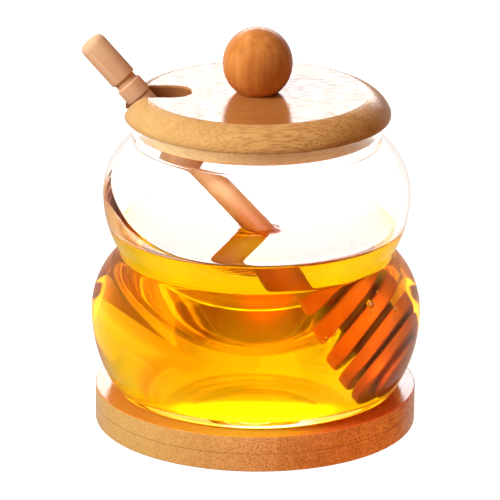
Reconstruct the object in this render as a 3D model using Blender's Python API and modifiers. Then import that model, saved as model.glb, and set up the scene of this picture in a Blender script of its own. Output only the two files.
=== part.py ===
"""A glass honey pot in its bamboo saucer, with honey, a wooden dipper leaning in it and a notched bamboo lid.

Metres, +Z up. The origin is on the pot's axis, at the underside of the saucer, and the dipper leans over
the pot's -X side, out through the notch in the lid. The pot is two stacked bulges with a waist between
them: every turned piece is a profile of (radius, height) points, built from arcs, on a Screw modifier.
"""

import math

import bpy
from mathutils import Matrix, Vector

GAP = 0.0003  # between two pieces that touch
TURN_STEPS = 48  # sides of the pot, the honey, the saucer and the lid
KNOB_STEPS = 28
DIPPER_STEPS = 20

# Saucer
SAUCER_RADIUS = 0.0542
SAUCER_HEIGHT = 0.0124
SAUCER_EDGE = 0.0005  # chamfer

# Outside of the pot
FOOT_Z = SAUCER_HEIGHT + GAP
FOOT_FILLET = 0.0025
LOWER_RADIUS = 0.0555
LOWER_Z = 0.0385
LOWER_SIDE_ARC = 0.048
WAIST_RADIUS = 0.0454
WAIST_Z = 0.0592
WAIST_ROUNDING = 0.0008
UPPER_RADIUS = 0.0515
UPPER_Z = 0.0795
SHOULDER_ARC = 0.0229
NECK_RADIUS = 0.0415
NECK_FILLET = 0.0015
RIM_Z = 0.1060
RIM_ROUNDING = 0.0010

# Inside of the pot
WALL = 0.0028
FLOOR_THICKNESS = 0.0030
FLOOR_FILLET = 0.0050
INNER_WAIST_ROUNDING = 0.0100
MOUTH_RADIUS = 0.0386

# Honey
HONEY_Z = 0.0685

# Lid
LID_Z = RIM_Z + GAP
LID_TOP_Z = 0.1144
LID_RADIUS = 0.0446
LID_FLAT_RADIUS = 0.0374
LID_SIDE_ARC = 0.0106
LID_WIDEST_Z = 0.1080
LID_EDGE = 0.0006
PLUG_RADIUS = MOUTH_RADIUS - 0.0008
PLUG_Z = 0.1009
PLUG_EDGE = 0.0005
NOTCH_HALF_WIDTH = 0.0066
NOTCH_CENTRE_X = -0.0286
NOTCH_CUTTER_LENGTH = 0.030
NOTCH_CUTTER_HEIGHT = 0.040

# Knob, a ball cut off flat where it stands on the lid
KNOB_RADIUS = 0.01165
KNOB_HALF_HEIGHT = 0.0121
KNOB_CENTRE_Z = 0.1245
KNOB_ARC_STEPS = 13

# Dipper, along its own axis from the grip's end
DIPPER_END = Vector((-0.0561, 0.0027, 0.1311))
DIPPER_THROUGH = Vector((0.0009, -0.0058, 0.0685))
GRIP_RADIUS = 0.0046
GRIP_LENGTH = 0.0172
GRIP_CHAMFER = 0.0014
RING_RADIUS = 0.00455
RING_START = 0.0195
RING_LENGTH = 0.0056
TURNED_EDGE = 0.0005
SHAFT_RADIUS = 0.00415
GROOVE_RADIUS = 0.0038
HEAD_START = 0.1135
DISC_RADII = (0.0129, 0.0136, 0.0145, 0.0152, 0.0153)
DISC_PITCH = 0.0060
DISC_THICKNESS = 0.0041
DISC_EDGE = 0.0008
CORE_RADIUS = 0.0080
NOSE_RADIUS = 0.0100
NOSE_LENGTH = 0.0030


def clear_scene():
    for obj in list(bpy.data.objects):
        bpy.data.objects.remove(obj)


def collection(name):
    made = bpy.data.collections.new(name)
    bpy.context.scene.collection.children.link(made)
    return made


def material(name, colour, roughness, metallic=0.0):
    made = bpy.data.materials.new(name)
    made.use_nodes = True
    shader = made.node_tree.nodes["Principled BSDF"]
    shader.inputs["Base Color"].default_value = (*colour, 1.0)
    shader.inputs["Roughness"].default_value = roughness
    shader.inputs["Metallic"].default_value = metallic
    return made


def arc(centre, radius, start, end, steps):
    """Points on a circle about centre, from the angle start to end in degrees, 0 pointing outwards."""
    points = []
    for i in range(steps + 1):
        angle = math.radians(start + (end - start) * i / steps)
        points.append((centre[0] + radius * math.cos(angle), centre[1] + radius * math.sin(angle)))
    return points


def arc_between(start, end, radius, steps):
    """Points on the arc of this radius that bulges outwards between two points."""
    start, end = Vector(start), Vector(end)
    chord = end - start
    inwards = Vector((chord.y, -chord.x)).normalized()
    centre = (start + end) / 2 + inwards * math.sqrt(radius**2 - chord.length_squared / 4)
    angles = [math.degrees(math.atan2(*(point - centre).yx)) for point in (start, end)]
    return arc(centre, radius, *angles, steps)


def bulge_circle(equator, end):
    """The centre and radius of the circle that is upright at the equator and passes through end."""
    across = equator[0] - end[0]
    along = end[1] - equator[1]
    radius = (across**2 + along**2) / (2 * across)
    return Vector((equator[0] - radius, equator[1])), radius


def waist_arcs(wall, rounding):
    """The side from the lower equator up to the upper one, this wall inside the outer surface.

    Two bulge arcs meet in the waist, which a third arc rounds. It touches both from outside.
    """
    waist = (WAIST_RADIUS, WAIST_Z)
    lower, lower_radius = bulge_circle((LOWER_RADIUS, LOWER_Z), waist)
    upper, upper_radius = bulge_circle((UPPER_RADIUS, UPPER_Z), waist)
    lower_radius -= wall
    upper_radius -= wall
    span = upper - lower
    near = lower_radius + rounding
    far = upper_radius + rounding
    along = (span.length_squared + near**2 - far**2) / (2 * span.length)
    out = Vector((span.y, -span.x)).normalized()
    middle = lower + span.normalized() * along + out * math.sqrt(near**2 - along**2)
    low = math.degrees(math.atan2(*(middle - lower).yx))
    high = math.degrees(math.atan2(*(middle - upper).yx))
    below = arc(lower, lower_radius, 0, low, 5)
    turn = arc(middle, rounding, 180 + low, 180 + high, 3)
    above = arc(upper, upper_radius, high, 0, 4)
    return below + turn[1:-1] + above


def foot_arcs(steps):
    """The lower side and the fillet under it, from the equator down to the flat foot."""
    drop = LOWER_Z - FOOT_Z
    angle = math.degrees(math.asin((drop - FOOT_FILLET) / (LOWER_SIDE_ARC - FOOT_FILLET)))
    side_centre = (LOWER_RADIUS - LOWER_SIDE_ARC, LOWER_Z)
    reach = (LOWER_SIDE_ARC - FOOT_FILLET) * math.cos(math.radians(angle))
    foot_centre = (side_centre[0] + reach, FOOT_Z + FOOT_FILLET)
    side = arc(side_centre, LOWER_SIDE_ARC, 0, -angle, steps)
    return side + arc(foot_centre, FOOT_FILLET, -angle, -90, 3)[1:]


def neck_arcs(steps):
    """The shoulder, from the straight neck down to the upper equator, with a small fillet under the neck."""
    centre = (UPPER_RADIUS - SHOULDER_ARC, UPPER_Z)
    reach = SHOULDER_ARC + NECK_FILLET
    angle = math.acos((NECK_RADIUS + NECK_FILLET - centre[0]) / reach)
    fillet_centre = (NECK_RADIUS + NECK_FILLET, centre[1] + reach * math.sin(angle))
    angle = math.degrees(angle)
    fillet_points = arc(fillet_centre, NECK_FILLET, 180, 180 + angle, 2)
    return fillet_points + arc(centre, SHOULDER_ARC, angle, 0, steps)[1:]


def outer_profile():
    """The pot's outer side, from the rim down to the flat foot."""
    rim = arc((NECK_RADIUS - RIM_ROUNDING, RIM_Z - RIM_ROUNDING), RIM_ROUNDING, 90, 0, 3)
    return rim + neck_arcs(6) + waist_arcs(0.0, WAIST_ROUNDING)[::-1][1:] + foot_arcs(6)[1:]


def inner_profile(inset=0.0):
    """The pot's inner side, from the middle of its floor up to the mouth, or a further inset inside it."""
    wall = WALL + inset
    floor_z = FOOT_Z + FLOOR_THICKNESS + inset
    side_centre = (LOWER_RADIUS - LOWER_SIDE_ARC, LOWER_Z)
    side_radius = LOWER_SIDE_ARC - wall
    corner_radius = FLOOR_FILLET - inset
    angle = math.degrees(math.asin((LOWER_Z - floor_z - corner_radius) / (side_radius - corner_radius)))
    reach = (side_radius - corner_radius) * math.cos(math.radians(angle))
    corner = arc((side_centre[0] + reach, floor_z + corner_radius), corner_radius, -90, -angle, 3)
    side = arc(side_centre, side_radius, -angle, 0, 4)
    waist = waist_arcs(wall, INNER_WAIST_ROUNDING + inset)
    centre = (UPPER_RADIUS - SHOULDER_ARC, UPPER_Z)
    radius = SHOULDER_ARC - wall
    mouth = MOUTH_RADIUS - inset
    top = math.degrees(math.acos((mouth - centre[0]) / radius))
    shoulder = arc(centre, radius, 0, top, 6)
    return [(0.0, floor_z)] + corner + side[1:] + waist[1:] + shoulder[1:]


def screw(name, profile, steps, mat, home):
    """A turned solid. The profile runs from the axis to the axis, down the outer side."""
    mesh = bpy.data.meshes.new(name)
    edges = [(i, i + 1) for i in range(len(profile) - 1)]
    mesh.from_pydata([(r, 0.0, z) for r, z in profile], edges, [])
    obj = bpy.data.objects.new(name, mesh)
    home.objects.link(obj)
    turn = obj.modifiers.new("Turn", "SCREW")
    turn.axis = "Z"
    turn.steps = steps
    turn.render_steps = steps
    turn.use_merge_vertices = True
    turn.merge_threshold = 0.00001
    turn.use_smooth_shade = True
    mesh.materials.append(mat)
    return obj


def hide(cutter):
    cutter.hide_render = True
    cutter.display_type = "WIRE"
    return cutter


def cut(obj, cutter):
    boolean = obj.modifiers.new("Cut by " + cutter.name, "BOOLEAN")
    boolean.operation = "DIFFERENCE"
    boolean.solver = "EXACT"
    boolean.object = cutter


def make_saucer(home):
    edge = SAUCER_EDGE
    profile = [
        (0.0, SAUCER_HEIGHT),
        (SAUCER_RADIUS - edge, SAUCER_HEIGHT),
        (SAUCER_RADIUS, SAUCER_HEIGHT - edge),
        (SAUCER_RADIUS, edge),
        (SAUCER_RADIUS - edge, 0.0),
        (0.0, 0.0),
    ]
    return screw("saucer", profile, TURN_STEPS, material("Saucer bamboo", (0.60, 0.32, 0.11), 0.35), home)


def make_jar(home):
    """One closed wall: up the inside from the middle of the floor, over the rim and down the outside."""
    rim = arc((MOUTH_RADIUS + RIM_ROUNDING, RIM_Z - RIM_ROUNDING), RIM_ROUNDING, 180, 90, 2)
    profile = inner_profile() + rim + outer_profile() + [(0.0, FOOT_Z)]
    return screw("jar", profile, TURN_STEPS, material("Clear glass", (0.95, 0.97, 0.96), 0.03), home)


def band(radius, start, end, edge, offset):
    """A raised stretch of the dipper with eased edges, grown by an offset."""
    points = [(radius - edge + offset, start - offset), (radius + offset, start + edge - offset)]
    points += [(radius + offset, end - edge + offset), (radius - edge + offset, end + offset)]
    return points


def dipper_profile(offset=0.0):
    """(radius, distance along the axis) from the grip's end to the nose, grown by an offset for the cutter."""
    profile = [(0.0, -offset), (GRIP_RADIUS - GRIP_CHAMFER + offset, -offset)]
    profile += [(GRIP_RADIUS + offset, GRIP_CHAMFER - offset)]
    profile += [(GRIP_RADIUS + offset, GRIP_LENGTH - TURNED_EDGE + offset)]
    profile += [(GROOVE_RADIUS + offset, GRIP_LENGTH + offset), (GROOVE_RADIUS + offset, RING_START - offset)]
    profile += band(RING_RADIUS, RING_START, RING_START + RING_LENGTH, TURNED_EDGE, offset)[1:]
    profile += [(SHAFT_RADIUS + offset, RING_START + RING_LENGTH + TURNED_EDGE + offset)]
    profile += [(SHAFT_RADIUS + offset, HEAD_START - offset)]
    for i, radius in enumerate(DISC_RADII):
        start = HEAD_START + i * DISC_PITCH
        profile += band(radius, start, start + DISC_THICKNESS, DISC_EDGE, offset)
        profile += [(CORE_RADIUS + offset, start + DISC_THICKNESS + offset)]
        profile += [(CORE_RADIUS + offset, start + DISC_PITCH - offset)]
    nose = HEAD_START + len(DISC_RADII) * DISC_PITCH
    profile += band(NOSE_RADIUS, nose, nose + NOSE_LENGTH, NOSE_LENGTH / 3, offset)
    return profile + [(0.0, nose + NOSE_LENGTH + offset)]


def turn_dipper(name, offset, mat, home):
    """The dipper stands on its nose when turned, so its profile runs from the grip down, then it is tilted."""
    profile = [(radius, -along) for radius, along in dipper_profile(offset)]
    obj = screw(name, profile, DIPPER_STEPS, mat, home)
    down = (DIPPER_THROUGH - DIPPER_END).normalized()
    tilt = Vector((0.0, 0.0, -1.0)).rotation_difference(down).to_matrix().to_4x4()
    obj.matrix_world = Matrix.Translation(DIPPER_END) @ tilt
    return obj


def make_honey(home, dipper_cutter):
    """Honey up to its level in the pot, a gap inside the glass, with the dipper cut out of it."""
    wall = inner_profile(GAP)
    wet = [point for point in wall if point[1] < HONEY_Z]
    below, above = wet[-1], wall[len(wet)]
    share = (HONEY_Z - below[1]) / (above[1] - below[1])
    brim = (below[0] + share * (above[0] - below[0]), HONEY_Z)
    profile = [*wet, brim, (0.0, HONEY_Z)][::-1]
    obj = screw("honey", profile, TURN_STEPS, material("Honey", (0.90, 0.45, 0.03), 0.05), home)
    cut(obj, dipper_cutter)
    return obj


def make_notch(tools):
    """The cutters of the slot from the lid's -X rim to its round inner end, through the disc and the plug."""
    middle_z = (PLUG_Z + LID_TOP_Z) / 2
    bpy.ops.mesh.primitive_cylinder_add(vertices=32, radius=NOTCH_HALF_WIDTH, depth=NOTCH_CUTTER_HEIGHT)
    end = bpy.context.object
    end.name = "notch_end"
    end.location = (NOTCH_CENTRE_X, 0.0, middle_z)
    bpy.ops.mesh.primitive_cube_add(size=1.0)
    slot = bpy.context.object
    slot.name = "notch_slot"
    slot.scale = (NOTCH_CUTTER_LENGTH, 2 * NOTCH_HALF_WIDTH, NOTCH_CUTTER_HEIGHT)
    slot.location = (NOTCH_CENTRE_X - NOTCH_CUTTER_LENGTH / 2, 0.0, middle_z)
    for cutter in (end, slot):
        for owner in list(cutter.users_collection):
            owner.objects.unlink(cutter)
        tools.objects.link(hide(cutter))
    return end, slot


def make_lid(home, cutters):
    """A disc with a rounded side and a plug under it, cut by the notch."""
    side = arc_between((LID_FLAT_RADIUS, LID_TOP_Z), (LID_RADIUS, LID_WIDEST_Z), LID_SIDE_ARC, 5)
    profile = [(0.0, LID_TOP_Z)] + side + [(LID_RADIUS, LID_Z + LID_EDGE), (LID_RADIUS - LID_EDGE, LID_Z)]
    profile += [(PLUG_RADIUS, LID_Z), (PLUG_RADIUS, PLUG_Z + PLUG_EDGE), (PLUG_RADIUS - PLUG_EDGE, PLUG_Z)]
    profile += [(0.0, PLUG_Z)]
    obj = screw("lid", profile, TURN_STEPS, material("Lid bamboo", (0.60, 0.32, 0.11), 0.30), home)
    for cutter in cutters:
        cut(obj, cutter)
    return obj


def make_knob(home):
    bottom_z = LID_TOP_Z + GAP
    lowest = math.degrees(math.asin((bottom_z - KNOB_CENTRE_Z) / KNOB_HALF_HEIGHT))
    profile = [(0.0, KNOB_CENTRE_Z + KNOB_HALF_HEIGHT)]
    for i in range(1, KNOB_ARC_STEPS + 1):
        angle = math.radians(90 + (lowest - 90) * i / KNOB_ARC_STEPS)
        profile.append((KNOB_RADIUS * math.cos(angle), KNOB_CENTRE_Z + KNOB_HALF_HEIGHT * math.sin(angle)))
    profile.append((0.0, bottom_z))
    return screw("knob", profile, KNOB_STEPS, material("Knob wood", (0.55, 0.22, 0.05), 0.30), home)


def main():
    clear_scene()
    parts = collection("Honey pot")
    tools = collection("Cutters")
    make_saucer(parts)
    make_jar(parts)
    make_knob(parts)
    turn_dipper("dipper", 0.0, material("Dipper wood", (0.70, 0.42, 0.22), 0.45), parts)
    dipper_cutter = hide(turn_dipper("dipper_space", GAP, None, tools))
    make_honey(parts, dipper_cutter)
    make_lid(parts, make_notch(tools))


main()
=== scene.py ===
"""Looks of a glass honey pot on its bamboo saucer, with honey, a wooden dipper and a notched bamboo lid.

Metres, +Z up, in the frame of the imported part: the pot's axis is Z, the saucer stands on Z = 0, the notch and
the dipper's grip are on the -X side, and the photograph looks from -Y. Every piece is a surface computed with
numpy: a profile turned about an axis, or a grid bent onto the glass.
"""

import math

import bpy
import numpy as np
from mathutils import Matrix, Vector


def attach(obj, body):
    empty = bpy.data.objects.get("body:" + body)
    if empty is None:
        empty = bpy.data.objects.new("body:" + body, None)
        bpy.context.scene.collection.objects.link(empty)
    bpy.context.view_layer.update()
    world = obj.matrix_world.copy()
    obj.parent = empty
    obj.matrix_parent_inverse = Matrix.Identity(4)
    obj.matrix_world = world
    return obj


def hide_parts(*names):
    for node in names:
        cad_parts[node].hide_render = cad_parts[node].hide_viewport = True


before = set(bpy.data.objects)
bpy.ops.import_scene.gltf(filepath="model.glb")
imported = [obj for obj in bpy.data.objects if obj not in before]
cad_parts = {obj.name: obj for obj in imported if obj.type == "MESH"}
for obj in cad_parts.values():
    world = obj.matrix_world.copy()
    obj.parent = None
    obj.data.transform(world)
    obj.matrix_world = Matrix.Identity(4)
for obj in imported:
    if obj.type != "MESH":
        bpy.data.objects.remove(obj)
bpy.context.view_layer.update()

MM = 0.001
TURN = 288  # steps round the pot

# Saucer
SAUCER_RADIUS = 54.2 * MM
SAUCER_TOP = 12.4 * MM
SAUCER_PLY = 6.3 * MM
SAUCER_GRAIN = math.radians(68.0)

# Pot, outside
FOOT = 12.45 * MM
FOOT_FILLET = 2.5 * MM
PUSH_UP = 0.9 * MM
LOWER_RADIUS = 55.5 * MM
LOWER_HEIGHT = 38.5 * MM
LOWER_SIDE_ARC = 48.0 * MM
WAIST_RADIUS = 45.4 * MM
WAIST_HEIGHT = 59.2 * MM
UPPER_RADIUS = 51.5 * MM
UPPER_HEIGHT = 79.5 * MM
SHOULDER_ARC = 22.9 * MM
NECK_RADIUS = 41.5 * MM
NECK_FILLET = 1.5 * MM
RIM = 106.0 * MM
RIM_ROUNDING = 1.0 * MM

# Pot, inside
WALL = 2.8 * MM
INNER_FLOOR = 15.7 * MM
FLOOR_FILLET = 5.0 * MM
INNER_WAIST_ROUNDING = 10.0 * MM
MOUTH_RADIUS = 38.6 * MM
INTO_GLASS = 0.2 * MM  # what fills the pot reaches this far into its wall

# Honey
HONEY_LEVEL = 68.5 * MM
MENISCUS = 1.2 * MM
MENISCUS_REACH = 1.5 * MM
SHAFT_MENISCUS = 0.5 * MM
SHAFT_REACH = 0.8 * MM
SURFACE_RINGS = 69
HONEY_IOR = 1.49
FILM_AZIMUTH = (172, 178, 183, 187, 194, 201, 208, 213, 221, 230, 238, 252)
FILM_RISE = np.array((0, 8, 17, 19, 15, 12.4, 9.6, 7.2, 4.5, 2.2, 0.9, 0)) * MM
FILM_THICKNESS = 0.25 * MM
FILM_RINGS = 25

# Lid
LID_UNDER = 106.3 * MM
LID_TOP = 114.4 * MM
LID_RADIUS = 44.6 * MM
LID_FLAT_RADIUS = 37.4 * MM
LID_SIDE_ARC = 10.6 * MM
LID_WIDEST = 108.0 * MM
PLUG_RADIUS = 38.2 * MM
PLUG_UNDER = 100.9 * MM
NOTCH_HALF_WIDTH = 6.6 * MM
NOTCH_CENTRE = -28.6 * MM
LID_GRAIN = math.radians(8.0)

# Knob
KNOB_RADIUS = 11.65 * MM
KNOB_HALF_HEIGHT = 12.1 * MM
KNOB_CENTRE = 124.5 * MM
KNOB_TURN = 128

# Dipper, along its own axis from the grip's end
DIPPER_END = Vector((-56.1, 2.7, 131.1)) * MM
DIPPER_THROUGH = Vector((0.9, -5.8, 68.5)) * MM
GRIP_RADIUS = 4.6 * MM
GRIP_LENGTH = 17.2 * MM
RING_START = 19.5 * MM
RING_LENGTH = 5.6 * MM
RING_RADIUS = 4.55 * MM
SHAFT_RADIUS = 4.15 * MM
GROOVE_RADIUS = 3.8 * MM
HEAD_START = 113.5 * MM
DISC_RADII = np.array((12.9, 13.6, 14.5, 15.2, 15.3)) * MM
DISC_PITCH = 6.0 * MM
DISC_THICKNESS = 4.1 * MM
CORE_RADIUS = 8.0 * MM
NOSE_RADIUS = 10.0 * MM
NOSE_LENGTH = 3.0 * MM
DIPPER_TURN = 96

# Light: how bright the white tent is behind and in front, seen through glass, and the card that the lid mirrors
TENT = 1.3
TENT_FRONT = 6.0
CARD = 6.6
CARD_DISTANCE = 2.0
ROOM = (0.34, 0.17, 0.08)

# Spotlights: place, target, cone in degrees, size, power, colour
SPOTS = {
    "low": ((0.30, -0.52, 0.03), (0.02, -0.03, 0.006), 15.0, 0.02, 4.6, (1, 0.26, 0.04)),
    "warm": ((0.48, -0.36, 0.26), (0.041, -0.036, 0.012), 8.0, 0.02, 3.0, (1, 0.26, 0.04)),
    "under_lid": ((-0.004, 0.018, 0.080), (-0.004, 0.018, 0.1), 72.0, 0.003, 0.04, (1, 0.45, 0.25)),
}
GLOWS = ((0.008, -0.044, 0.040), (0.026, -0.043, 0.030), (0.040, -0.027, 0.049), (0.040, -0.029, 0.027),
         (0.006, -0.016, 0.026), (0.040, 0.020, 0.048))

# Camera
CAMERA_ELEVATION = math.radians(18.435)
CAMERA_DISTANCE = 1.5
CAMERA_TARGET = Vector((-2.1, 0, 59.0)) * MM
CAMERA_ROLL = math.radians(0.45)
CAMERA_FOCAL = 4456.25 / 500  # in widths of the frame
SENSOR = 36


# Profiles: arrays of (radius, height), down the outer side

def arc(centre, radius, start, end, steps):
    """Points centre + radius * (cos a, sin a), with a running from start to end in degrees."""
    angle = np.radians(np.linspace(start, end, steps + 1))
    return np.column_stack((centre[0] + radius * np.cos(angle), centre[1] + radius * np.sin(angle)))


def line(start, end, steps):
    """Points evenly along a straight line, without its start."""
    share = np.linspace(0, 1, steps + 1)[1:, None]
    return np.array(start) * (1 - share) + np.array(end) * share


def degrees_of(vector):
    return math.degrees(math.atan2(vector[1], vector[0]))


def arc_between(start, end, radius, steps):
    """The arc of this radius that bulges outwards from start down to end."""
    start, end = np.array(start), np.array(end)
    chord = end - start
    inwards = np.array((chord[1], -chord[0])) / np.hypot(*chord)
    centre = (start + end) / 2 + inwards * math.sqrt(radius**2 - chord @ chord / 4)
    return arc(centre, radius, degrees_of(start - centre), degrees_of(end - centre), steps)


def bulge_circle(radius, height):
    """The circle that is upright at this equator and passes through the waist: its centre and radius."""
    across = radius - WAIST_RADIUS
    rho = (across**2 + (WAIST_HEIGHT - height) ** 2) / (2 * across)
    return np.array((radius - rho, height)), rho


def waist_arcs(wall, rounding, steps):
    """Down from the upper equator to the lower one: two bulge arcs and the arc that touches both in the waist."""
    upper, far = bulge_circle(UPPER_RADIUS, UPPER_HEIGHT)
    lower, near = bulge_circle(LOWER_RADIUS, LOWER_HEIGHT)
    far, near = far - wall, near - wall
    span = upper - lower
    length = np.hypot(*span)
    along = (length**2 + (near + rounding) ** 2 - (far + rounding) ** 2) / (2 * length)
    out = np.array((span[1], -span[0])) / length
    middle = lower + span / length * along + out * math.sqrt((near + rounding) ** 2 - along**2)
    high, low = degrees_of(middle - upper), degrees_of(middle - lower)
    above = arc(upper, far, 0, high, steps)
    turn = arc(middle, rounding, 180 + high, 180 + low, max(6, steps // 2))
    below = arc(lower, near, low, 0, steps)
    return np.vstack((above, turn[1:-1], below))


def outer_side():
    """The pot's outside from the rim to the middle of its slightly hollow foot."""
    rim = arc((NECK_RADIUS - RIM_ROUNDING, RIM - RIM_ROUNDING), RIM_ROUNDING, 90, 0, 8)
    centre = np.array((UPPER_RADIUS - SHOULDER_ARC, UPPER_HEIGHT))
    reach = SHOULDER_ARC + NECK_FILLET
    angle = math.acos((NECK_RADIUS + NECK_FILLET - centre[0]) / reach)
    hollow = centre + reach * np.array((math.cos(angle), math.sin(angle)))
    angle = math.degrees(angle)
    neck = arc(hollow, NECK_FILLET, 180, 180 + angle, 8)
    shoulder = arc(centre, SHOULDER_ARC, angle, 0, 28)[1:]
    turn = math.asin((LOWER_HEIGHT - FOOT - FOOT_FILLET) / (LOWER_SIDE_ARC - FOOT_FILLET))
    side_centre = np.array((LOWER_RADIUS - LOWER_SIDE_ARC, LOWER_HEIGHT))
    reach = (LOWER_SIDE_ARC - FOOT_FILLET) * math.cos(turn)
    turn = math.degrees(turn)
    side = arc(side_centre, LOWER_SIDE_ARC, 0, -turn, 28)[1:]
    foot = arc((side_centre[0] + reach, FOOT + FOOT_FILLET), FOOT_FILLET, -turn, -90, 8)[1:]
    ring = foot[-1] - (3.0 * MM, 0)
    across = np.linspace(0, 1, 13)
    rise = PUSH_UP * np.sin(across * np.pi / 2) ** 2
    under = np.column_stack((ring[0] * (1 - across), FOOT + rise))
    return np.vstack((rim, neck, shoulder, waist_arcs(0, 0.8 * MM, 24)[1:], side, foot, under))


def inner_side(inset):
    """The pot's inside from the mouth to the middle of its floor, a further inset inside the wall."""
    wall = WALL + inset
    floor = INNER_FLOOR + inset
    corner = FLOOR_FILLET - inset
    centre = (UPPER_RADIUS - SHOULDER_ARC, UPPER_HEIGHT)
    top = math.degrees(math.acos((MOUTH_RADIUS - inset - centre[0]) / (SHOULDER_ARC - wall)))
    shoulder = arc(centre, SHOULDER_ARC - wall, top, 0, 64)
    radius = LOWER_SIDE_ARC - wall
    turn = math.asin((LOWER_HEIGHT - floor - corner) / (radius - corner))
    reach = (radius - corner) * math.cos(turn)
    side_x = LOWER_RADIUS - LOWER_SIDE_ARC
    side = arc((side_x, LOWER_HEIGHT), radius, 0, -math.degrees(turn), 24)[1:]
    edge = arc((side_x + reach, floor + corner), corner, -math.degrees(turn), -90, 10)[1:]
    bottom = line(edge[-1], (0, floor), 12)
    return np.vstack((shoulder, waist_arcs(wall, INNER_WAIST_ROUNDING + inset, 24)[1:], side, edge, bottom))


def wall_radius(height, inset):
    """The radius of the pot's inside at a height, read off the profile."""
    profile = inner_side(inset)[::-1]
    return np.interp(height, profile[:, 1], profile[:, 0])


# Meshes

def finish_mesh(name, points, faces, sharp=40.0):
    """A mesh object in the scene, smooth but for the edges sharper than this angle."""
    mesh = bpy.data.meshes.new(name)
    mesh.from_pydata(points, [], faces)
    mesh.update()
    mesh.shade_smooth()
    mesh.set_sharp_from_angle(angle=math.radians(sharp))
    piece = bpy.data.objects.new(name, mesh)
    bpy.context.scene.collection.objects.link(piece)
    return piece


def turned_points(profile, steps):
    """Points (r cos t, r sin t, z) of a profile turned through t, a pole kept as one point, and its faces."""
    radius, height = profile[1:-1].T
    angle = np.arange(steps) * 2 * np.pi / steps
    ring = np.stack((np.outer(radius, np.cos(angle)), np.outer(radius, np.sin(angle))), -1)
    body = np.dstack((ring, np.broadcast_to(height[:, None], ring.shape[:2])))
    rows = len(radius)
    index = np.arange(rows * steps).reshape(rows, steps)
    after = np.roll(index, -1, 1)
    quads = np.stack((index[:-1], index[1:], after[1:], after[:-1]), -1).reshape(-1, 4)
    first, last = rows * steps, rows * steps + 1
    top = np.column_stack((np.full(steps, first), index[0], after[0]))
    bottom = np.column_stack((np.full(steps, last), after[-1], index[-1]))
    poles = np.array(((0, 0, profile[0, 1]), (0, 0, profile[-1, 1])))
    points = np.vstack((body.reshape(-1, 3), poles))
    return points, quads.tolist() + top.tolist() + bottom.tolist()


def turned(name, profile, steps=TURN, bend=None, sharp=40.0):
    """A turned solid. bend moves the points, as an array, once they are made."""
    points, faces = turned_points(np.asarray(profile, float), steps)
    if bend is not None:
        points = bend(points)
    return finish_mesh(name, points, faces, sharp)


def eased(before, corner, after, amount, steps=5):
    """The corner cut back by an amount along both its sides and rounded: the quadratic curve that it steers."""
    before, corner, after = (np.array(p, float) for p in (before, corner, after))
    start = corner + (before - corner) / np.hypot(*(before - corner)) * amount
    end = corner + (after - corner) / np.hypot(*(after - corner)) * amount
    t = np.linspace(0, 1, steps + 1)[:, None]
    return (1 - t) ** 2 * start + 2 * t * (1 - t) * corner + t**2 * end


def eased_profile(corners, amounts):
    """A profile of straight sides whose inner corners are all eased, each by its own amount."""
    rows = [np.array(corners[:1], float)]
    for i in range(1, len(corners) - 1):
        rows.append(eased(corners[i - 1], corners[i], corners[i + 1], amounts[i]))
    return np.vstack(rows + [np.array(corners[-1:], float)])


# Materials

class Wire:
    """A node's output: an expression on it adds the Math nodes that work it out."""

    def __init__(self, board, socket):
        self.board, self.socket = board, socket

    def __add__(self, other):
        return self.board.math("ADD", self, other)

    def __sub__(self, other):
        return self.board.math("SUBTRACT", self, other)

    def __rsub__(self, other):
        return self.board.math("SUBTRACT", other, self)

    def __mul__(self, other):
        return self.board.math("MULTIPLY", self, other)

    def __abs__(self):
        return self.board.math("ABSOLUTE", self)

    __radd__ = __add__
    __rmul__ = __mul__

    def rise(self, low, high):
        """0 below low, 1 above high and smooth between, or the other way round where low is above high."""
        values = {"Value": self, "From Min": min(low, high), "From Max": max(low, high)}
        values.update({"To Min": float(low > high), "To Max": float(low < high)})
        return self.board.node("ShaderNodeMapRange", {"interpolation_type": "SMOOTHSTEP"}, values)


class Board:
    """A node tree, built up from expressions."""

    def __init__(self, tree):
        self.tree = tree

    def feed(self, socket, value):
        if isinstance(value, Wire):
            self.tree.links.new(value.socket, socket)
        elif hasattr(value, "__len__") and len(value) == 3 and socket.type == "RGBA":
            socket.default_value = (*value, 1.0)
        else:
            socket.default_value = value

    def node(self, kind, settings=None, values=None, output=0):
        made = self.tree.nodes.new(kind)
        for name, value in (settings or {}).items():
            if name == "stops":
                ramp = made.color_ramp.elements
                while len(ramp) < len(value):
                    ramp.new(0.5)
                for stop, (place, colour) in zip(ramp, value):
                    stop.position = place
                    stop.color = (*colour, 1.0)
            else:
                setattr(made, name, value)
        for name, value in (values or {}).items():
            self.feed(made.inputs[name], value)
        return Wire(self, made.outputs[output])

    def math(self, operation, first, second=0.0):
        return self.node("ShaderNodeMath", {"operation": operation}, {0: first, 1: second})

    def radius(self, x, y):
        return self.math("SQRT", x * x + y * y)

    def parts(self, vector):
        made = self.tree.nodes.new("ShaderNodeSeparateXYZ")
        self.feed(made.inputs[0], vector)
        return [Wire(self, socket) for socket in made.outputs]

    def mix(self, first, second, factor):
        """first where the factor is 0 and second where it is 1."""
        return self.node("ShaderNodeMix", {"data_type": "RGBA"}, {0: factor, 6: first, 7: second}, 2)

    def ray(self, kind):
        return self.node("ShaderNodeLightPath", output=kind)


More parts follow.
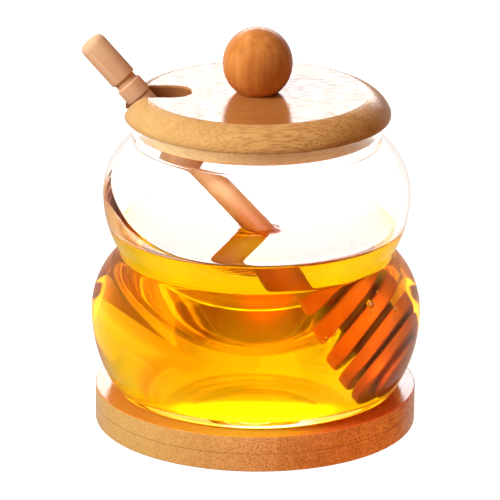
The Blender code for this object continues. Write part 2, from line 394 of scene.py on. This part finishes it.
class Finish(Board):
    """A Principled material. Words name its sockets, with _ for a space."""

    def __init__(self, name, **constants):
        self.material = bpy.data.materials.new(name)
        self.material.use_nodes = True
        super().__init__(self.material.node_tree)
        self.set(**constants)

    def set(self, **values):
        shader = self.tree.nodes["Principled BSDF"]
        for name, value in values.items():
            self.feed(shader.inputs[name.replace("_", " ")], value)
        return self

    def place(self):
        """Object coordinates, in metres."""
        return self.node("ShaderNodeTexCoord", output="Object")

    def millimetres(self, turn=(0, 0, 0), shift=(0, 0, 0)):
        """Object coordinates in millimetres, turned and shifted."""
        values = {"Vector": self.place(), "Rotation": turn, "Scale": (1000, 1000, 1000), "Location": shift}
        return self.node("ShaderNodeMapping", None, values)

    def stretched(self, vector, scale):
        return self.node("ShaderNodeVectorMath", {"operation": "MULTIPLY"}, {0: vector, 1: scale})

    def noise(self, vector, scale=1.0, detail=3.0, roughness=0.5):
        values = {"Vector": vector, "Scale": scale, "Detail": detail, "Roughness": roughness}
        return self.node("ShaderNodeTexNoise", None, values)

    def ramp(self, factor, *stops):
        return self.node("ShaderNodeValToRGB", {"stops": stops}, {0: factor})

    def bump(self, height, distance):
        return self.node("ShaderNodeBump", None, {"Height": height, "Distance": distance, "Strength": 1.0})


def bamboo(name, grain, bundle, contrast):
    """Varnished bamboo boards: long fibres along the grain, which show as dark dots where a side cuts across them.

    The coordinates are in millimetres with X along the grain. Fibre bundles are Voronoi cells drawn out 12
    times along X, streaks are noise drawn out the same way, and each 21 mm board has a tone of its own. Gives
    back the finish, its colour, and the place in millimetres in the part's frame.
    """
    f = Finish(name, IOR=1.5)
    place = f.millimetres(turn=(0, 0, -grain))
    _, y, _ = f.parts(place)
    wander = f.noise(f.stretched(place, (0.02, 0.08, 0.08)), detail=1.0)
    cells = f.stretched(place, (bundle / 12, bundle, bundle))
    away = f.node("ShaderNodeTexVoronoi", {"feature": "F1"}, {"Vector": cells, "Scale": 1.0, "Randomness": 0.85})
    dot = away.rise(0.52, 0.30)
    fine = f.noise(f.stretched(place, (0.05, 3.2, 3.2)), detail=4.0, roughness=0.6)
    broad = f.noise(f.stretched(place, (0.012, 0.33, 0.33)), detail=2.0)
    number = f.math("FLOOR", (y + 300.0) * (1 / 21.0))
    board = f.node("ShaderNodeTexWhiteNoise", {"noise_dimensions": "1D"}, {"W": number})
    tone = board * 0.25 + broad * 0.5 + wander * 0.25
    base = f.ramp(tone, (0.25, (0.62, 0.33, 0.10)), (0.5, (0.76, 0.46, 0.17)), (0.8, (0.86, 0.58, 0.25)))
    speckle = dot * fine.rise(0.10, 0.40)
    colour = f.mix(base, (0.36, 0.11, 0.025), speckle * contrast)
    colour = f.mix(colour, (0.93, 0.58, 0.25), fine.rise(0.56, 0.78) * 0.55)
    f.set(Base_Color=colour, Roughness=fine * 0.05 + 0.135)
    f.set(Normal=f.bump(fine * 0.6 + dot * -0.4, 0.00003))
    return f, colour, f.parts(f.millimetres())


def wood(name, colours, roughness, width, streaks, turn=(0, 0, 0), shift=(0, 0, 0)):
    """Close-grained turned wood: bands and pores are noise drawn out along Z, in millimetres with Z along the grain.

    colours are dark, middle and light, width is how wide the grain is, and streaks are how strong its dark and its
    light lines are. Gives back the finish, its colour, the fine grain and the place along the grain.
    """
    dark, middle, light = colours
    f = Finish(name, IOR=1.5)
    place = f.millimetres(turn, shift)
    along = f.noise(f.stretched(place, (0.25 / width, 0.25 / width, 0.02)), detail=2.0)
    fine = f.noise(f.stretched(place, (2.6 / width, 2.6 / width, 0.10)), detail=4.0, roughness=0.6)
    cloud = f.noise(place, scale=0.06, detail=2.0)
    tone = along * 0.55 + cloud * 0.45
    colour = f.ramp(tone, (0.30, dark), (0.5, middle), (0.72, light))
    colour = f.mix(colour, dark, fine.rise(0.50, 0.30) * streaks[0])
    colour = f.mix(colour, light, fine.rise(0.55, 0.75) * streaks[1])
    f.set(Base_Color=colour, Roughness=fine * 0.15 + (roughness - 0.07))
    f.set(Normal=f.bump(fine, 0.00004))
    return f, colour, fine, place


def soaked(f, colour, fine, along):
    """The dipper's wood where honey has been: smeared inside the pot, and soaked through below its level.

    along is its place with Z along its axis, which places the painted shade between the discs near that axis.
    """
    x, y, down = f.parts(along)
    # mask of the painted shade between the discs, near the axis
    painted_groove_shade = f.radius(x, y).rise(12.6, 10.2) * abs(down + 129.5).rise(14.6, 13.6)
    place = f.millimetres()
    z = f.parts(place)[2]
    patches = f.noise(place, scale=0.16, detail=2.0)
    smeared = (z + patches * 8.0).rise(108.0, 100.0)
    colour = f.mix(colour, (0.54, 0.22, 0.06), smeared * 0.85)
    colour = f.mix(colour, (0.72, 0.38, 0.17), smeared * patches.rise(0.5, 0.7) * 0.7)
    colour = f.mix(colour, (0.38, 0.075, 0.002), (z + patches * 6.0).rise(85.0, 72.0) * 0.9)
    under = z.rise(69.5, 68.0)
    inside = f.mix((0.60, 0.105, 0.005), (0.40, 0.05, 0.002), patches.rise(0.35, 0.75) * 0.5)
    inside = f.mix(inside, (0.80, 0.22, 0.015), fine.rise(0.55, 0.72) * 0.6)
    # painted shade between the discs
    inside = f.mix(inside, (0.22, 0.015, 0.001), painted_groove_shade * 0.85)
    f.set(Base_Color=f.mix(colour, inside, under), Roughness=(fine * 0.15 + 0.43) * (1 - smeared * 0.3))
    return f.set(Coat_Weight=smeared * (1 - under) * 0.15, Coat_Roughness=0.12, Specular_IOR_Level=0.2).material


def clear(name, ior, mirror=0.0):
    """A clear body. mirror is how much it reflects head-on, 1 being natural."""
    return Finish(name, IOR=ior, Transmission_Weight=1.0, Roughness=0.0, Base_Color=(1, 1, 1),
                  Specular_Tint=(mirror, mirror, mirror))


def clear_glass():
    """Clear glass with painted honey light in its foot, and a pale painted highlight of a lamp across its middle."""
    f = clear("Clear glass", 1.5)
    x, _, z = f.parts(f.millimetres())
    # painted highlight of a lamp near x = 5 mm, and painted honey light in the rest of the foot
    painted_light = f.mix((1.0, 0.96, 0.66), (0.92, 0.46, 0.01), abs(x - 5.0).rise(7.0, 17.0))
    return f.set(Base_Color=f.mix((1, 1, 1), painted_light, z.rise(17.0, 15.0))).material


def honey():
    """Golden honey, a little hazy, deeper the further light runs through it, and browner in its film on the glass."""
    f = clear("Honey", HONEY_IOR)
    depth = f.node("ShaderNodeVolumeAbsorption", None, {"Color": (0.995, 0.936, 0.0), "Density": 115.0})
    haze = f.node("ShaderNodeVolumeScatter", None, {"Density": 3.0, "Anisotropy": 0.3})
    inside = f.node("ShaderNodeAddShader", None, {0: depth, 1: haze})
    f.feed(f.tree.nodes["Material Output"].inputs["Volume"], inside)
    film = f.node("ShaderNodeAttribute", {"attribute_name": "film"}, output="Fac")
    return f.set(Base_Color=f.mix((1, 1, 1), (0.70, 0.40, 0.17), film)).material


def dress(piece, material, slot, *nodes):
    piece.data.materials.append(material)
    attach(piece, "root")
    if nodes:
        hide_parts(*nodes)
    return piece


# Pieces

def make_saucer():
    """A flat disc with eased edges, with painted light on its left side and painted honey light on its top."""
    corners = [(0, SAUCER_TOP), (SAUCER_RADIUS, SAUCER_TOP), (SAUCER_RADIUS, 0), (0, 0)]
    profile = eased_profile(corners, (0, 0.5 * MM, 0.5 * MM, 0))
    piece = turned("bamboo_saucer", profile)
    f, colour, (x, y, z) = bamboo("Saucer bamboo", SAUCER_GRAIN, 1.6, 0.65)
    # painted light: the saucer is lighter towards -X, on the key light's side
    colour = f.mix(colour, (0.74, 0.52, 0.16), x.rise(20.0, -45.0) * 0.55)
    colour = f.mix(colour, (0.22, 0.09, 0.02), abs(z - SAUCER_PLY / MM).rise(0.16, 0.05) * 0.6)
    # painted honey light on the top, varying across X, and painted shade under the pot
    painted_light = f.ramp(x * 0.01 + 0.5, (0.1, (0.72, 0.20, 0.01)), (0.42, (0.93, 0.46, 0.01)),
                   (0.6, (0.90, 0.40, 0.01)), (0.75, (0.85, 0.14, 0.01)))
    painted_light = f.mix(painted_light, (0.42, 0.05, 0.002), f.radius(x, y).rise(45.0, 43.0))
    f.set(Base_Color=f.mix(colour, painted_light, z.rise(12.0, 12.3) * 0.85))
    return dress(piece, f.material, "saucer_bamboo", "saucer")


def make_pot():
    """One closed wall: up the inside from the middle of the floor, over the rim and down the outside."""
    rim = arc((MOUTH_RADIUS + RIM_ROUNDING, RIM - RIM_ROUNDING), RIM_ROUNDING, 180, 90, 8)
    profile = np.vstack((inner_side(0.0)[::-1], rim, outer_side()[1:]))
    piece = turned("glass_pot", profile, sharp=60.0)
    return dress(piece, clear_glass(), "clear_glass", "jar")


def shaft_distance(points):
    """How far each point is from the side of the dipper's shaft."""
    along = np.array((DIPPER_THROUGH - DIPPER_END).normalized())
    offset = points - np.array(DIPPER_THROUGH)
    return np.linalg.norm(offset - (offset @ along)[:, None] * along, axis=1) - SHAFT_RADIUS


def brim_share(y):
    """How much of the meniscus there is at the wall: all of it in front and none behind."""
    return 1 - np.clip(y * 2.5 + 0.6, 0, 1)


def make_honey():
    """Honey to its level. Its surface climbs by exp(-d / reach) at a distance d from the glass and from the shaft.

    On the -X side it also clings to the glass as a film, which thins by 1 - u**6 at the share u of its height. The
    attribute "film" is how far a point is up in the film: 1 well inside it, 0 at its upper edge and in the body.
    """
    thick = FILM_THICKNESS + INTO_GLASS
    azimuth = np.arange(TURN) * 2 * np.pi / TURN
    rise = np.interp(np.degrees(azimuth), FILM_AZIMUTH, FILM_RISE)

    # Rings from the middle outwards, then up the film's face, at this depth inside the honey's side
    middle = np.linspace(1, 0, SURFACE_RINGS + 2)[1:-1] ** 1.3
    middle = thick + (wall_radius(HONEY_LEVEL, -INTO_GLASS) - thick) * middle
    up = np.linspace(0, 1, FILM_RINGS)
    depth = np.concatenate((middle, thick * (1 - up**6)))[:, None]
    up = np.concatenate((np.zeros(SURFACE_RINGS), up))[:, None]
    surface = HONEY_LEVEL + MENISCUS * brim_share(np.sin(azimuth)) * np.exp((INTO_GLASS - depth) / MENISCUS_REACH)
    surface = surface + rise * up

    # Then down behind the film, and down the pot's side
    low = HONEY_LEVEL - 2 * MM
    skin = low + (surface[-1] - low) * np.linspace(1, 0, FILM_RINGS)[1:, None]
    height = np.vstack((surface, skin))
    radius = np.vstack((wall_radius(surface, -INTO_GLASS) - depth, wall_radius(skin, -INTO_GLASS)))
    side = inner_side(-INTO_GLASS)
    side = side[side[:, 1] < low - 0.1 * MM]
    profile = np.vstack((((0, HONEY_LEVEL),), np.column_stack((radius[:, 0], height[:, 0])), side))
    points, faces = turned_points(profile, TURN)
    points[:height.size] = np.stack((radius * np.cos(azimuth), radius * np.sin(azimuth), height), -1).reshape(-1, 3)

    # The mound round the shaft lifts the surface, whose middle is the last point but one
    lifted = np.zeros(len(points))
    lifted[:surface.size] = 1
    lifted[-2] = 1
    points[:, 2] += lifted * SHAFT_MENISCUS * np.exp(-np.clip(shaft_distance(points), 0, None) / SHAFT_REACH)
    piece = finish_mesh("honey_body", points, faces, 60.0)

    share = np.clip((surface[-1] - height) / (5 * MM), 0, 1) * np.clip(rise / (3 * MM), 0, 1)
    film = np.zeros(len(points))
    film[:height.size] = (share * np.clip((height - HONEY_LEVEL - 0.8 * MM) / (1.5 * MM), 0, 1)).ravel()
    piece.data.attributes.new("film", "FLOAT", "POINT").data.foreach_set("value", film)
    return dress(piece, honey(), "honey", "honey")


def dipper_profile():
    """(radius, distance along the axis) of the dipper from its grip's end to its nose, with eased edges."""
    ring_end = RING_START + RING_LENGTH
    corners = [(0, 0), (GRIP_RADIUS, 0), (GRIP_RADIUS, GRIP_LENGTH), (GROOVE_RADIUS, GRIP_LENGTH)]
    ease = [0, 2.8 * MM, 0.5 * MM, 0.3 * MM]
    corners += [(GROOVE_RADIUS, RING_START), (RING_RADIUS, RING_START), (RING_RADIUS, ring_end)]
    corners += [(SHAFT_RADIUS, ring_end), (SHAFT_RADIUS, HEAD_START)]
    ease += [0.3 * MM, 0.3 * MM, 0.35 * MM, 0.2 * MM, 0.8 * MM]
    for i, radius in enumerate(DISC_RADII):
        start = HEAD_START + i * DISC_PITCH
        end = start + DISC_THICKNESS
        corners += [(radius, start), (radius, end), (CORE_RADIUS, end), (CORE_RADIUS, start + DISC_PITCH)]
        ease += [0.9 * MM, 0.9 * MM, 0.5 * MM, 0.5 * MM]
    nose = HEAD_START + len(DISC_RADII) * DISC_PITCH
    corners += [(NOSE_RADIUS, nose), (NOSE_RADIUS, nose + NOSE_LENGTH), (0, nose + NOSE_LENGTH)]
    ease += [0.4 * MM, 1.4 * MM, 0]
    return eased_profile(corners, ease)


def dipper_frame():
    """The matrix that puts the dipper, made hanging down from the origin, in its place."""
    down = (DIPPER_THROUGH - DIPPER_END).normalized()
    tilt = Vector((0, 0, -1)).rotation_difference(down).to_matrix().to_4x4()
    return Matrix.Translation(DIPPER_END) @ tilt


def make_dipper():
    """Its profile turned about the dipper's own axis, which leans in the pot."""
    place = dipper_frame()
    turn = np.array(place.to_3x3())
    piece = turned("honey_dipper", dipper_profile() * (1, -1), DIPPER_TURN,
                   lambda points: points @ turn.T + np.array(DIPPER_END), 50.0)
    back = place.inverted()
    dry = wood("Dipper wood", ((0.70, 0.41, 0.24), (0.83, 0.55, 0.35), (0.93, 0.68, 0.47)), 0.5, 0.8, (0.25, 0.25),
               tuple(back.to_euler()), tuple(back.translation * 1000))
    return dress(piece, soaked(*dry), "dipper_wood", "dipper")


def notch_cutter():
    """A slot with a round inner end, its walls upright and flared a little at the lid's top to ease the edge."""
    angle = np.linspace(-np.pi / 2, np.pi / 2, 33)
    end = np.column_stack((np.cos(angle), np.sin(angle)))
    levels = [(PLUG_UNDER - 5 * MM, 0), (LID_TOP - 0.5 * MM, 0), (LID_TOP - 0.15 * MM, 0.12 * MM)]
    levels += [(LID_TOP, 0.45 * MM), (LID_TOP + 5 * MM, 0.45 * MM)]
    outer = -60 * MM
    loops = []
    for height, flare in levels:
        half = NOTCH_HALF_WIDTH + flare
        plan = np.vstack((end * half + (NOTCH_CENTRE, 0), ((outer, half), (outer, -half))))
        loops.append(np.column_stack((plan, np.full(len(plan), height))))
    count = len(loops[0])
    index = np.arange(len(levels) * count).reshape(len(levels), count)
    after = np.roll(index, -1, 1)
    sides = np.stack((index[:-1], after[:-1], after[1:], index[1:]), -1).reshape(-1, 4).tolist()
    return finish_mesh("notch_cutter", np.vstack(loops), sides + [index[0, ::-1].tolist(), index[-1].tolist()])


def cut_away(piece, cutter):
    """The piece without the cutter's space, as its final mesh. The cutter is removed."""
    boolean = piece.modifiers.new("Notch", "BOOLEAN")
    boolean.operation = "DIFFERENCE"
    boolean.solver = "EXACT"
    boolean.object = cutter
    evaluated = piece.evaluated_get(bpy.context.evaluated_depsgraph_get())
    cut = bpy.data.meshes.new_from_object(evaluated)
    piece.modifiers.clear()
    piece.data = cut
    bpy.data.objects.remove(cutter)
    cut.shade_smooth()
    cut.set_sharp_from_angle(angle=math.radians(35))
    return piece


def make_lid():
    """A disc with a flat glossy top, a full rounded side and a plug in the pot's mouth, cut by the notch.

    The flat top is darker, painted light lifts the -X side, the notch and the plug's +X side have painted shade, and
    the underside has painted honey light.
    """
    edge = eased((0, LID_TOP), (LID_FLAT_RADIUS, LID_TOP), (LID_FLAT_RADIUS + 2 * MM, LID_TOP - 0.8 * MM), 0.5 * MM)
    side = arc_between((LID_FLAT_RADIUS, LID_TOP), (LID_RADIUS, LID_WIDEST), LID_SIDE_ARC, 24)[2:]
    corners = [(LID_RADIUS, LID_WIDEST), (LID_RADIUS, LID_UNDER), (PLUG_RADIUS, LID_UNDER)]
    corners += [(PLUG_RADIUS, PLUG_UNDER), (0, PLUG_UNDER)]
    below = eased_profile(corners, (0, 0.7 * MM, 0.2 * MM, 0.4 * MM, 0))
    rings = line((0, LID_TOP), edge[0], 24)
    profile = np.vstack((((0, LID_TOP),), rings[:-1], edge, side[:-1], below))
    piece = cut_away(turned("bamboo_lid", profile), notch_cutter())
    f, colour, (x, y, z) = bamboo("Lid bamboo", LID_GRAIN, 1.9, 0.55)
    # painted light: the lid is lighter towards -X, on the key light's side
    colour = f.mix(colour, (0.68, 0.47, 0.19), x.rise(20.0, -40.0) * 0.6)
    # painted shade on the plug's +X side
    colour = f.mix(colour, (0.27, 0.10, 0.018), z.rise(106.3, 105.9) * x.rise(-36.0, 8.0) * 0.85)
    # painted honey light on the underside
    colour = f.mix(colour, (0.80, 0.10, 0.01), z.rise(101.2, 100.95) * 0.9)
    # painted shade inside the notch
    notch = abs(y).rise(7.0, 6.7) * x.rise(-21.0, -21.8) * z.rise(114.35, 113.6)
    colour = f.mix(colour, (0.24, 0.07, 0.02), notch * 0.85)
    flat = f.radius(x, y).rise(37.7, 37.2) * z.rise(113.9, 114.3)
    f.set(Base_Color=f.mix(colour, (0.45, 0.15, 0.03), flat * 0.8))
    return dress(piece, f.material, "lid_bamboo", "lid")


def make_knob():
    """A ball a little taller than wide, cut off flat where it stands on the lid."""
    lowest = math.asin((LID_TOP + 0.02 * MM - KNOB_CENTRE) / KNOB_HALF_HEIGHT)
    angle = np.linspace(np.pi / 2, lowest, 60)
    side = np.column_stack((KNOB_RADIUS * np.cos(angle), KNOB_CENTRE + KNOB_HALF_HEIGHT * np.sin(angle)))
    profile = np.vstack((side, ((0, side[-1, 1]),)))
    profile[0, 0] = 0
    colours = (0.46, 0.14, 0.025), (0.66, 0.26, 0.06), (0.84, 0.42, 0.14)
    f = wood("Knob wood", colours, 0.22, 0.7, (0.3, 0.4))[0]
    return dress(turned("lid_knob", profile, KNOB_TURN), f.material, "knob_wood", "knob")


def make_bubbles():
    """Air bubbles in the honey by the dipper's discs, each a turned ball at x, y, z of a radius, in millimetres."""
    spots = [(36.6, -31.5, 50.4, 1.4), (35.2, -27.0, 45.6, 0.6), (43.2, -20.0, 44.5, 0.8), (42.4, -21.0, 42.0, 0.6)]
    spots += [(38.6, -24.5, 51.5, 0.5), (21.5, -38.0, 41.5, 0.45), (20.6, -38.5, 40.6, 0.35)]
    angle = np.linspace(np.pi / 2, -np.pi / 2, 17)
    ball, faces = turned_points(np.column_stack((np.cos(angle), np.sin(angle))), 24)
    points = [ball * radius * MM + np.array((x, y, z)) * MM for x, y, z, radius in spots]
    all_faces = [[v + i * len(ball) for v in face] for i in range(len(spots)) for face in faces]
    piece = finish_mesh("air_bubbles", np.vstack(points), all_faces, 180.0)
    return dress(piece, clear("Air", 1 / HONEY_IOR, mirror=1.0).material, "honey")


make_saucer()
make_pot()
make_honey()
make_dipper()
make_lid()
make_knob()
make_bubbles()


# Stage, light and camera

def make_backdrop():
    """A card behind, soft at its edges, that the lid and the honey's surface mirror. Seen straight through the glass,
    it is no brighter than the tent round it."""
    middle, across, up = 0.72, 1.1, 0.26
    low, high = middle - up, middle + up
    corners = [(-across, low), (across, low), (across, high), (-across, high)]
    made = finish_mesh("backdrop", [(x, CARD_DISTANCE, z) for x, z in corners], [(0, 1, 2, 3)])
    f = Finish("Backdrop", Base_Color=(0, 0, 0), Specular_IOR_Level=0.0, Emission_Strength=CARD)
    x, _, z = f.parts(f.place())
    soft = abs(x).rise(across, 0.25) * abs(z - middle).rise(up, 0.11)
    mirrored = f.ray("Glossy Depth").rise(0.4, 0.6)
    level = TENT / CARD
    f.set(Emission_Color=f.mix((level, level, level), (1.0, 0.97, 0.965), soft * mirrored))
    made.data.materials.append(f.material)
    for kind in ("camera", "diffuse", "shadow"):
        setattr(made, "visible_" + kind, False)


def lamp(name, kind, place, target, size, power, colour):
    """A light that no mirror or glass shows."""
    light = bpy.data.lights.new(name, kind)
    light.energy = power
    light.color = colour
    if kind == "AREA":
        light.size = size
    else:
        light.shadow_soft_size = size
    made = bpy.data.objects.new(name, light)
    bpy.context.scene.collection.objects.link(made)
    made.location = place
    made.rotation_euler = (Vector(target) - Vector(place)).to_track_quat("-Z", "Y").to_euler()
    made.visible_glossy = False
    made.visible_transmission = False
    return made


def make_lights():
    """A key light on the left, low warm ones on the right, and the glow that glass and honey gather inside."""
    lamp("key", "AREA", (-0.75, -0.45, 0.75), (0, 0, 0.07), 0.5, 13.5, (1, 0.97, 0.93))
    for name, (place, target, cone, size, power, colour) in SPOTS.items():
        made = lamp(name, "SPOT", place, target, size, power, colour)
        made.data.spot_size = math.radians(cone)
        made.data.spot_blend = 0.9
    for number, place in enumerate(GLOWS):
        lamp("glow_%d" % number, "POINT", place, (0, 0, 0), 0.006, 0.008, (1, 0.50, 0.10))


def make_stage():
    """A pale floor that lights up the glass but not the wood, just under the saucer, and the card behind."""
    reach, level = 4.0, -0.2 * MM
    corners = [(-reach, -reach), (reach, -reach), (reach, reach), (-reach, reach)]
    floor = finish_mesh("floor", [(x, y, level) for x, y in corners], [(0, 1, 2, 3)])
    f = Finish("Floor", Base_Color=(0.5, 0.5, 0.5), Roughness=0.9, Specular_IOR_Level=0.0)
    f.set(Emission_Color=(1, 1, 1), Emission_Strength=0.97)
    floor.data.materials.append(f.material)
    floor.visible_diffuse = False
    floor.visible_glossy = False
    make_backdrop()


def make_world():
    """A dim warm room. Seen through glass it is a white light tent, brightest in front and dimmer at the far right,
    and a mirrored ray sees a little of that tent behind."""
    world = bpy.data.worlds.new("Studio")
    bpy.context.scene.world = world
    world.use_nodes = True
    sky = Board(world.node_tree)
    x, y, _ = sky.parts(sky.node("ShaderNodeTexCoord", output="Generated"))
    tent = (y.rise(0.1, -0.6) * (TENT_FRONT - TENT) + TENT) * (1 - x.rise(0.5, 0.85) * 0.25)
    share = y.rise(0.45, 0.8) * 0.25 * sky.ray("Is Glossy Ray") + sky.ray("Is Transmission Ray")
    sky.feed(world.node_tree.nodes["Background"].inputs["Color"], sky.mix(ROOM, tent, share))


def make_camera():
    """The photograph's view: 18 degrees down on the pot from the front, with a trace of roll."""
    back = Vector((0, -math.cos(CAMERA_ELEVATION), math.sin(CAMERA_ELEVATION)))
    data = bpy.data.cameras.new("camera")
    data.sensor_width = SENSOR
    data.lens = CAMERA_FOCAL * SENSOR
    camera = bpy.data.objects.new("camera", data)
    bpy.context.scene.collection.objects.link(camera)
    turn = (-back).to_track_quat("-Z", "Y").to_matrix().to_4x4()
    roll = Matrix.Rotation(CAMERA_ROLL, 4, "Z")
    camera.matrix_world = Matrix.Translation(CAMERA_TARGET + back * CAMERA_DISTANCE) @ turn @ roll
    bpy.context.scene.camera = camera


make_stage()
make_world()
make_lights()
make_camera()
bpy.context.scene.view_settings.view_transform = "Standard"
bounces = {"max": 48, "transmission": 48, "glossy": 48, "diffuse": 6, "volume": 3}
for kind, most in bounces.items():
    setattr(bpy.context.scene.cycles, kind + "_bounces", most)
